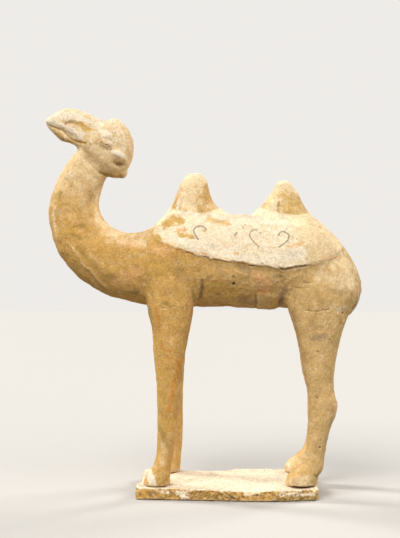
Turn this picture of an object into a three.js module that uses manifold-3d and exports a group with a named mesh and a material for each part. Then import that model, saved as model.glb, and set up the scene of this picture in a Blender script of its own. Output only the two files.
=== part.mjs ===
// A fired-clay figure of a two-humped camel, standing on its slab with its head thrown up.
// Millimetres, +Z up. The camel faces -X and its left side is -Y.
// The origin is the centre of the slab's underside.
import * as THREE from "three";
import { mergeVertices } from "three/addons/utils/BufferGeometryUtils.js";
import Module from "manifold-3d";

const wasm = await Module();
wasm.setup();

// The slab, which the soles stand on, was cut by hand: its corners and the bends of its sides,
// as [x, y] from the near left corner round.
const SLAB_THICKNESS = 12;
const SLAB_EDGE = 2;
const SLAB_OUTLINE = [
  [-87.5, -48.5],
  [-30, -52.5],
  [18, -56],
  [52, -55.5],
  [76, -50.5],
  [87, -49],
  [88, 0],
  [86, 48],
  [58, 55.5],
  [10, 51.5],
  [-2, 44],
  [-38, 43.5],
  [-48, 49],
  [-87, 53],
  [-84.5, -24],
  [-88, -31],
];

// Every limb is drawn as cuts across it. A cut is [frontX, frontZ, backX, backZ, halfWidth]:
// the two ends of the cut in the camel's side view, and half of its width across the camel.
const NECK_AND_TRUNK = [
  [-149, 341, -115, 330, 13],
  [-164, 322, -125, 303, 15.5],
  [-176, 294, -128.5, 286, 18.5],
  [-178.5, 268, -125, 273, 21.5],
  [-164, 229, -113.5, 261.5, 27],
  [-131.5, 200, -94, 256.5, 34],
  [-87, 185.5, -63, 265.5, 41],
  [-52, 183, -42, 270, 44],
  [-5, 182, -5, 273, 44.5],
  [50, 181, 50, 273.5, 45],
  [79, 182, 81, 273.5, 44.5],
  [98, 184, 98, 262, 41],
  [115, 185, 114.5, 243, 34],
  [126, 184, 126, 226, 23],
];

const TRUNK_SHAPE = { capEnd: 6.5, square: 2.35 };

// The legs' cuts are level, and each pair of legs shares them.
const FORELEG = [
  [-68, 245, -46, 245, 10],
  [-76, 228, -36, 228, 14.5],
  [-80, 204, -26, 204, 16.5],
  [-78, 182, -32, 183, 16.5],
  [-73.5, 165, -35.5, 165, 14.5],
  [-71, 135, -41, 135, 12],
  [-67.5, 94, -45, 94, 10],
  [-67.5, 50, -50, 50, 9],
  [-71.5, 30, -53.5, 30, 10.5],
  [-79, 19.5, -54.5, 19.5, 12.8],
  [-83.5, 5, -54.5, 5, 13.5],
];
const HIND_LEG = [
  [82, 246, 103, 241, 8],
  [68, 229, 116, 226, 13.5],
  [57, 207, 125, 206, 17.5],
  [56, 191, 126, 192, 18],
  [62, 175, 118, 176, 16.3],
  [70.5, 148, 108.5, 148, 12.7],
  [74, 118, 103.5, 118, 11.3],
  [78, 99, 104, 99, 10.5],
  [78.5, 86, 107, 86, 10.5],
  [78, 60, 97.5, 60, 9.5],
  [73, 38, 94, 38, 10],
  [65, 28, 93, 28, 11.5],
  [56, 19, 87.5, 19, 13.5],
  [56, 4, 87, 4, 14],
];
// How far out a leg's middle runs at some heights, and how far the right legs stand behind
// the left ones: lists of [height, distance].
const LEG_OUT = [[60, 35.5], [150, 32], [190, 28.5], [245, 26.5]];
const RIGHT_FORELEG_BACK = [[20, 6.5], [40, 5.5], [60, 3], [90, 0], [110, -2], [170, -1]];
const RIGHT_HIND_LEG_BACK = [[29, 2.5], [38, 6], [60, 4.5], [100, 3.5], [130, 1.5]];

// Humps are level cuts too, from the top down into the back.
const FRONT_HUMP = [
  [-40.5, 313, -23, 313, 7.5],
  [-45.5, 307, -19.5, 307, 11],
  [-51, 296, -17, 296, 13.5],
  [-54, 286, -12.5, 286, 16],
  [-60, 278, -2, 278, 20],
  [-75, 262, 16, 262, 26],
];
const REAR_HUMP = [
  [49.5, 304, 64.5, 304, 8],
  [42.5, 296, 71, 296, 12.5],
  [36, 286, 76.5, 286, 16],
  [28, 278, 81, 278, 20],
  [10, 262, 98, 262, 28],
];
const HUMP_CAP = 3.5;

// The head is drawn along its own axis: s runs back from the muzzle's tip, h runs up from the
// axis. A cut is [bottomS, bottomH, topS, topH, halfWidth].
const HEAD_TIP = { x: -181, z: 368.6 };
const HEAD_TILT = THREE.MathUtils.degToRad(27.2);
const HEAD = [
  [0.5, -1.8, -0.5, 4.5, 5],
  [5, -2.4, 4, 13, 8.5],
  [12, -2.8, 10.5, 20.6, 10],
  [22, -3.4, 21, 25, 11],
  [33, -5, 33.5, 26.6, 12],
  [42, -10, 46, 26.4, 14.5],
  [49, -15, 53, 27.4, 18],
  [57, -19.3, 59.5, 34.2, 20],
  [69, -22, 71, 33.6, 20.5],
  [79, -21, 80.5, 28.2, 19],
  [86, -19.5, 88.5, 19.5, 15.5],
  [90.5, -17.5, 93, 9.5, 11.5],
];
const LOWER_JAW = [
  [2.5, -4.6, 2.5, 1, 3.5],
  [9, -6.8, 9, 3, 6.5],
  [17, -9.2, 17.5, 3, 8],
  [22, -10.6, 23.5, 2.5, 8.5],
  [32, -8.6, 33, 1, 9.2],
  [42, -9, 47, 0, 11],
];
// Lumps and hollows on the head are ellipsoids: [s, h, halfLength, halfHeight, turn, y, halfY].
// The turn is in degrees from the head's axis, and y is how far out the centre sits.
const NAPE_TUFT = [88.5, -10, 8.5, 6.8, -35, 0, 10];
const BROW = [63, 12.5, 11, 3.4, 2, 15, 6];
const EYEBALL = [65, 5.4, 7, 4.2, 4, 17.5, 4.6];
const EAR = [82, 2.2, 9.5, 5.4, -6, 14.5, 7];
const EAR_HOLLOW = [86.5, -5.3, 6, 3, 14, 17, 5.5];
const NOSTRIL = [24.5, 10.6, 5.5, 1.3, 12, 11, 2.6];
const CHEEK_FURROW = [39.5, 12.3, 7.5, 1.6, -4, 13, 3];

// The saddle cloth lies on the back as a thin raised layer, down to this hem.
const CLOTH_THICKNESS = 1.6;
const HEM = [
  [-62, 292],
  [-71, 264],
  [-68, 251],
  [-52, 240],
  [8, 225.5],
  [54, 221.5],
  [98, 230],
  [128, 250],
];

// The tail lies against the rump between the thighs.
const TAIL = [
  [108, 237, 118, 239, 5],
  [118, 223, 129, 224, 4.5],
  [124, 207, 134.2, 207, 4.2],
  [124, 194, 133, 194, 4],
  [119, 184, 128.5, 183, 4],
  [115, 178, 124, 176, 3.4],
];

// How finely limbs are divided: faces round a cut, and rows along the limb.
const TRUNK_GRID = { sides: 24, rows: 40 };
const HEAD_GRID = { sides: 20, rows: 24 };
const LEG_GRID = { sides: 14, rows: 28 };
const HUMP_GRID = { sides: 18, rows: 13 };
const JAW_GRID = { sides: 12, rows: 15 };
const LUMP_GRID = { sides: 12, rows: 6 };
const CAP_ROWS = 3;

// Blocks that only cut reach past the figure on every side.
const BEYOND = 250;

const CLAY = { color: 0xc9a56c, roughness: 0.93, metalness: 0 };
const SLAB_CLAY = { color: 0xd9c197, roughness: 0.95, metalness: 0 };

// A manifold-3d solid from a closed geometry.
function solidOf(geometry) {
  const bare = geometry.clone();
  bare.deleteAttribute("normal");
  bare.deleteAttribute("uv");
  const merged = mergeVertices(bare, 1e-3);
  const mesh = new wasm.Mesh({
    numProp: 3,
    vertProperties: merged.attributes.position.array,
    triVerts: new Uint32Array(merged.index.array),
  });
  return new wasm.Manifold(mesh);
}

// A three.js geometry from a manifold-3d solid.
function geometryOf(solid) {
  const mesh = solid.getMesh();
  const positions = new THREE.BufferAttribute(mesh.vertProperties, mesh.numProp);
  const geometry = new THREE.BufferGeometry().setAttribute("position", positions);
  geometry.setIndex(new THREE.BufferAttribute(mesh.triVerts, 1));
  const flat = geometry.toNonIndexed();
  flat.computeVertexNormals();
  return flat;
}

// A sphere of sides and rows whose vertices are sent to new places by
// place(along, turn): along runs 0 to 1 from pole to pole, turn 0 to 2 PI around.
function reshapedSphere({ sides, rows }, place) {
  const sphere = new THREE.SphereGeometry(1, sides, rows);
  const { position, uv } = sphere.attributes;
  for (let i = 0; i < position.count; i++) {
    const row = Math.round((1 - uv.getY(i)) * rows);
    const atPole = row === 0 || row === rows;
    const turn = atPole ? 0 : 2 * Math.PI * (Math.round(uv.getX(i) * sides) % sides) / sides;
    const point = place(row / rows, turn);
    position.setXYZ(i, point.x, point.y, point.z);
  }
  return sphere;
}

// One side of an ellipse, or of a boxier outline where square is above 2.
function rounded(side, square) {
  return Math.sign(side) * Math.abs(side) ** (2 / square);
}

// A closed limb through its cuts, with a rounded cap that stands capStart or capEnd past each end.
// middleY(z) is how far out the limb runs, and grow thickens it all round. A square of 2 makes
// the cuts ellipses, more makes them boxier; taper narrows each cut towards its back end.
function limb(cuts, { sides, rows }, shape = {}) {
  const { capStart = 4, capEnd = 4, middleY = () => 0, grow = 0, square = 2, taper = 0 } = shape;
  const spline = (pick) => new THREE.CatmullRomCurve3(cuts.map(pick), false, "catmullrom", 0.5);
  const fronts = spline(([fx, fz, , , w]) => new THREE.Vector3(fx, w, fz));
  const backs = spline(([, , bx, bz, w]) => new THREE.Vector3(bx, w, bz));
  const cutAt = (t) => {
    const front = fronts.getPoint(t);
    const back = backs.getPoint(t);
    const centre = front.clone().add(back).multiplyScalar(0.5);
    const half = front.clone().sub(centre).setY(0);
    const width = centre.y + grow;
    half.setLength(half.length() + grow);
    centre.y = middleY(centre.z);
    return { centre, half, width };
  };
  const pastEnd = (t, share) => {
    const inner = cutAt(t === 0 ? 0.02 : 0.98).centre;
    return cutAt(t).centre.sub(inner).setLength((t === 0 ? capStart : capEnd) * share);
  };
  const place = (along, turn) => {
    const row = Math.round(along * rows);
    const t = THREE.MathUtils.clamp((row - CAP_ROWS) / (rows - 2 * CAP_ROWS), 0, 1);
    const intoCap = Math.max(0, CAP_ROWS - row, row - rows + CAP_ROWS) / CAP_ROWS;
    const { centre, half, width } = cutAt(t);
    if (intoCap > 0) centre.add(pastEnd(t, Math.sin(intoCap * Math.PI / 2)));
    const size = Math.cos(intoCap * Math.PI / 2);
    const lengthwise = size * rounded(Math.cos(turn), square);
    const across = size * rounded(Math.sin(turn), square) * (1 + taper * Math.cos(turn));
    return centre.addScaledVector(half, lengthwise).add(new THREE.Vector3(0, -width * across, 0));
  };
  return solidOf(reshapedSphere({ sides, rows }, place));
}

// A point of the head, given along its axis and up from it, in the camel's side view.
function onHead(s, h) {
  const cos = Math.cos(HEAD_TILT);
  const sin = Math.sin(HEAD_TILT);
  return [HEAD_TIP.x + s * cos + h * sin, HEAD_TIP.z - s * sin + h * cos];
}

// Cuts given along the head's axis, as cuts in the camel's side view.
function headCuts(cuts) {
  return cuts.map(([bs, bh, ts, th, w]) => [...onHead(bs, bh), ...onHead(ts, th), w]);
}

// An ellipsoid on the head; side is -1 for the left, 1 for the right.
function headLump([s, h, halfLength, halfHeight, turn, y, halfY], side = 1) {
  const lump = new THREE.SphereGeometry(1, LUMP_GRID.sides, LUMP_GRID.rows);
  const [x, z] = onHead(s, h);
  lump.scale(halfLength, halfY, halfHeight);
  lump.rotateY(HEAD_TILT - THREE.MathUtils.degToRad(turn));
  lump.translate(x, side * y, z);
  return solidOf(lump);
}

// The distance that a list of [height, distance] gives at a height.
function distanceAt(list, z) {
  const after = list.findIndex(([height]) => height >= z);
  if (after === 0) return list[0][1];
  if (after < 0) return list.at(-1)[1];
  const [[z0, d0], [z1, d1]] = list.slice(after - 1, after + 1);
  return THREE.MathUtils.mapLinear(z, z0, z1, d0, d1);
}

// A leg on one side: -1 for the left, 1 for the right.
function leg(cuts, rightBack, side) {
  const back = (z) => (side > 0 ? distanceAt(rightBack, z) : 0);
  const standing = cuts.map(([fx, fz, bx, bz, w]) => [fx + back(fz), fz, bx + back(bz), bz, w]);
  const middleY = (z) => side * distanceAt(LEG_OUT, z);
  return limb(standing, LEG_GRID, { middleY, capEnd: 1 });
}

function head() {
  const both = (lump) => [headLump(lump, -1), headLump(lump, 1)];
  const whole = [
    limb(headCuts(HEAD), HEAD_GRID, { capStart: 2.2, capEnd: 2.5, taper: 0.14 }),
    limb(headCuts(LOWER_JAW), JAW_GRID, { capStart: 1.5 }),
    headLump(NAPE_TUFT),
    ...[BROW, EYEBALL, EAR].flatMap(both),
  ].reduce((a, b) => a.add(b));
  return [EAR_HOLLOW, NOSTRIL, CHEEK_FURROW].flatMap(both).reduce((a, b) => a.subtract(b), whole);
}

// The cloth is the back, thickened, where it lies above the hem.
function saddleCloth() {
  const above = new THREE.Shape();
  const hem = new THREE.SplineCurve(HEM.map(([x, z]) => new THREE.Vector2(x, z)));
  above.setFromPoints(hem.getPoints(26));
  const block = new THREE.ExtrudeGeometry(above, { depth: 2 * BEYOND, bevelEnabled: false });
  block.translate(0, 0, -BEYOND);
  block.rotateX(Math.PI / 2);
  const thickBack = limb(NECK_AND_TRUNK, TRUNK_GRID, { ...TRUNK_SHAPE, grow: CLOTH_THICKNESS });
  return thickBack.intersect(solidOf(block));
}

// Cuts everything off below the slab's top, so that the soles are flat.
function groundCut() {
  const ground = new THREE.BoxGeometry(2 * BEYOND, 2 * BEYOND, BEYOND);
  ground.translate(0, 0, SLAB_THICKNESS - BEYOND / 2);
  return solidOf(ground);
}

function camel() {
  const solid = [
    limb(NECK_AND_TRUNK, TRUNK_GRID, TRUNK_SHAPE),
    limb(FRONT_HUMP, HUMP_GRID, { capStart: HUMP_CAP }),
    limb(REAR_HUMP, HUMP_GRID, { capStart: HUMP_CAP + 1.5 }),
    saddleCloth(),
    ...[-1, 1].map((side) => leg(FORELEG, RIGHT_FORELEG_BACK, side)),
    ...[-1, 1].map((side) => leg(HIND_LEG, RIGHT_HIND_LEG_BACK, side)),
    limb(TAIL, JAW_GRID),
    head(),
  ].reduce((a, b) => a.add(b));
  return geometryOf(solid.subtract(groundCut()));
}

function slab() {
  const outline = new THREE.Shape(SLAB_OUTLINE.map(([x, y]) => new THREE.Vector2(x, y)));
  const plate = new THREE.ExtrudeGeometry(outline, {
    depth: SLAB_THICKNESS - SLAB_EDGE,
    bevelThickness: SLAB_EDGE / 2,
    bevelSize: SLAB_EDGE,
    bevelOffset: -SLAB_EDGE,
    bevelSegments: 2,
  });
  plate.translate(0, 0, SLAB_EDGE / 2);
  return plate;
}

function piece(name, geometry, finish) {
  const mesh = new THREE.Mesh(geometry, new THREE.MeshStandardMaterial(finish));
  mesh.name = name;
  return mesh;
}

const figure = new THREE.Group();
figure.add(piece("camel", camel(), CLAY));
figure.add(piece("base_slab", slab(), SLAB_CLAY));

export default figure;
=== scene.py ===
"""Finishes the fired-clay camel: its worn skin, saddle cloth and features, its slab and a studio.

Everything stands in the CAD's own frame: +Z up, the camel faces -X and its left side is -Y.
Tables of places are in millimetres, in the camel's side view, as (x, z).
"""

import math

import bmesh
import bpy
import numpy as np
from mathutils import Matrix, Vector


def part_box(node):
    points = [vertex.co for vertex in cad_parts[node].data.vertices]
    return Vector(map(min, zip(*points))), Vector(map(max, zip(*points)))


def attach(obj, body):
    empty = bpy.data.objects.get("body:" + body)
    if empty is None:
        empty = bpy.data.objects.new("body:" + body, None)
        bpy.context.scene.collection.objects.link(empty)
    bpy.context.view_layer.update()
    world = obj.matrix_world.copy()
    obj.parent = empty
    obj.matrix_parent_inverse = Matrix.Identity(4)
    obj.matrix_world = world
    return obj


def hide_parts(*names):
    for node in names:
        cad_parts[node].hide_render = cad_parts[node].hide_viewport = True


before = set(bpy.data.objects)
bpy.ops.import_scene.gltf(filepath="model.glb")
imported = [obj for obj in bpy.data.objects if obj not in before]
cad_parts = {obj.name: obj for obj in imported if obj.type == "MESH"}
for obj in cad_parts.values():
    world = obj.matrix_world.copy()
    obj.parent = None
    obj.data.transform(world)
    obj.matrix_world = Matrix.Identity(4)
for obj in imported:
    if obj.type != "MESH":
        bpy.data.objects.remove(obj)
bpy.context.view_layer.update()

bl_info = {
    "name": "Clay Camel",
    "version": (1, 0, 0),
    "blender": (4, 5, 0),
    "location": "3D View > Sidebar > Clay Camel",
    "description": "Finishes a fired-clay camel and its slab around their CAD solids",
    "category": "Object",
}

MM = 0.001
SLAB_TOP = 12.0

# Every mark is a path, half of its width, and its height in millimetres or its strength.
# The saddle cloth's edge, from its front top corner down and back along the flank.
HEM = [(-58, 292), (-68, 272), (-71.5, 260), (-68, 249), (-56, 244.5), (-48.5, 240.5), (-38, 236.5), (-25.5, 232),
       (-10, 229.5), (4, 227), (16, 226), (27, 223.5), (36, 223), (45, 220.5), (54, 220.5), (66, 222), (78, 224),
       (91, 227.5), (101, 229.5), (107, 233), (112, 240), (118, 250), (126, 262)]
# Where the cloth ends round the foot of each hump.
HUMP_COLLARS = [
    [(-62, 285), (-50, 279.5), (-41.5, 277.5), (-31.5, 276), (-20.5, 276), (-8, 281)],
    [(28, 283), (42.5, 278), (53.5, 275.5), (62, 273.5), (71, 273.5), (84, 277)],
]
# Creases where one mass meets another.
CREASES = [
    ([(-26.5, 217), (-24.5, 211), (-23.5, 202), (-25.5, 192), (-30, 182)], 2.6, -1.7),
    ([(52, 211), (54.5, 202), (55, 194), (53, 186), (50.5, 180)], 3.4, -2.2),
]
# The fold low on the belly: its front edge and its back end.
BELLY_FOLD = {"front": 29.4, "back": 52.0, "top": 196.5, "height": 1.3}
# Ridges and furrows on the neck, belly and rump.
BODY_FORMS = [
    ([(-156.5, 247), (-146.5, 235), (-142, 226.5), (-137.5, 221.5), (-133, 219.5), (-127, 210.5),
      (-117, 201.5)], 1.1, 0.9),
    ([(-151, 252.5), (-141, 235), (-130, 225.5), (-117, 211)], 3.2, -0.5),
    ([(8, 218.5), (17.5, 214)], 1.2, 0.6), ([(74, 207), (79, 207)], 0.8, -0.6),
    ([(66.5, 202.5), (72.5, 202), (81, 203)], 0.8, -0.4), ([(-79, 217.5), (-80.5, 194.5)], 3.5, 0.4),
]
# Ridges and furrows of the face: mouth, lips, nostril, furrow, brow, eye, cheek and ear.
FACE_FORMS = [
    ([(-177, 364), (-170, 361), (-164, 358.5), (-160, 354.5), (-155, 350), (-147.5, 346.5),
      (-140.5, 345)], 0.85, -1.3),
    ([(-175.5, 367), (-168.5, 364), (-163, 361.5), (-157, 356)], 2.4, 0.35),
    ([(-156, 359.5), (-151, 356), (-146.5, 353)], 3, 0.8),
    ([(-161.5, 364.5), (-158, 366), (-153.5, 366.5), (-149, 364.5)], 0.9, -1),
    ([(-160, 368.5), (-154.5, 369.5), (-148, 367.5)], 1.8, 0.5),
    ([(-145.5, 364.5), (-141, 361.5), (-135.5, 359), (-128.5, 358)], 2, -0.9),
    ([(-146, 369), (-137.5, 365.5), (-127.5, 362)], 2.2, 0.35),
    ([(-128.5, 358.5), (-122, 355.5), (-115, 353)], 4, 0.6),
    ([(-127, 347), (-120.5, 350), (-113, 346)], 1.1, -0.3), ([(-122, 344.5), (-117, 344.5)], 2.8, 0.5),
    ([(-127.5, 343), (-122, 338.5), (-114.5, 337)], 1.2, -0.3),
    ([(-135.5, 348.5), (-132.5, 343), (-134, 337.5)], 2.2, 0.45), ([(-127.5, 329), (-118, 326)], 6, 0.7),
    ([(-140.5, 330.5), (-136, 325), (-130, 319), (-123.5, 315.5), (-113.5, 314), (-104.5, 313)], 1.6, -1.1),
    ([(-111.5, 336), (-106.5, 334), (-101, 330)], 3.2, 0.8),
    ([(-112, 326), (-107.5, 324), (-101.5, 324.5)], 2.3, -0.9), 
    ([(-171.5, 358.5), (-164, 353), (-157, 350)], 2.4, 0.5),
]
# Cracks under the hem, round the tops of the legs, and scratches on the knee.
CRACKS = [
    ([(-45, 239.5), (-38.5, 236.5), (-31.5, 234)], 0.6, -0.7),
    ([(-25.5, 232.5), (-21, 231.5), (-16.5, 230.5)], 0.5, -1.1),
    ([(-14.5, 230), (-7.5, 228.5), (0, 227)], 0.45, -0.9),
    ([(2, 228), (8.5, 227), (16.5, 226)], 0.6, -0.7), ([(20, 223.5), (27, 223)], 0.5, -1.1),
    ([(22, 223), (30, 223)], 0.5, -1.2), ([(32, 226.5), (36.5, 223), (41, 221.5), (46, 220)], 0.55, -1),
    ([(48.5, 221.5), (54, 220), (61.5, 221), (69, 222.5), (77.5, 223)], 0.8, -2.2),
    ([(78, 224.5), (91, 227.5), (100.5, 229), (106.5, 232.5), (109.5, 238)], 0.5, -0.4),
    ([(-66, 184.5), (-60, 182.5), (-51.5, 184.5), (-45, 182.5), (-38, 184.5), (-32.5, 183.5)], 0.4, -0.7),
    ([(73.5, 181), (81, 179.5), (87.5, 180), (91.5, 181), (99.5, 180.5)], 0.5, -1),
    ([(-63, 145.5), (-58, 143.5), (-51.5, 140.5), (-43, 134.5)], 0.35, -0.4),
    ([(-60.5, 139.5), (-54.5, 135.5), (-47.5, 133), (-43, 133)], 0.35, -0.35),
]
PITS = [
    ([(6.5, 206)], 1.6, 2.4), ([(9, 205.5)], 0.8, 1), ([(6, 213)], 1, 0.9), ([(-21.5, 224)], 1.1, 0.8),
    ([(86.5, 140.5)], 1, 0.9), ([(86.5, 97)], 0.9, 0.8), ([(89, 50)], 1.2, 1.5),
    ([(-94.5, 199.5)], 0.9, 0.7), ([(111, 178)], 1.4, 1.3), ([(-123.5, 345)], 0.8, 0.8),
    ([(-117.5, 342.5)], 0.9, 1), ([(-114.5, 340.5)], 0.8, 0.9), ([(-122, 342)], 0.6, 0.6),
    ([(-113.5, 338)], 0.7, 0.7), ([(-111.5, 344.5)], 0.6, 0.6),
]
# The broad eye with its worn, pitted ball.
WORN_EYE = [([(-124, 346), (-112, 341)], 4.5, 0.5)]

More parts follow.
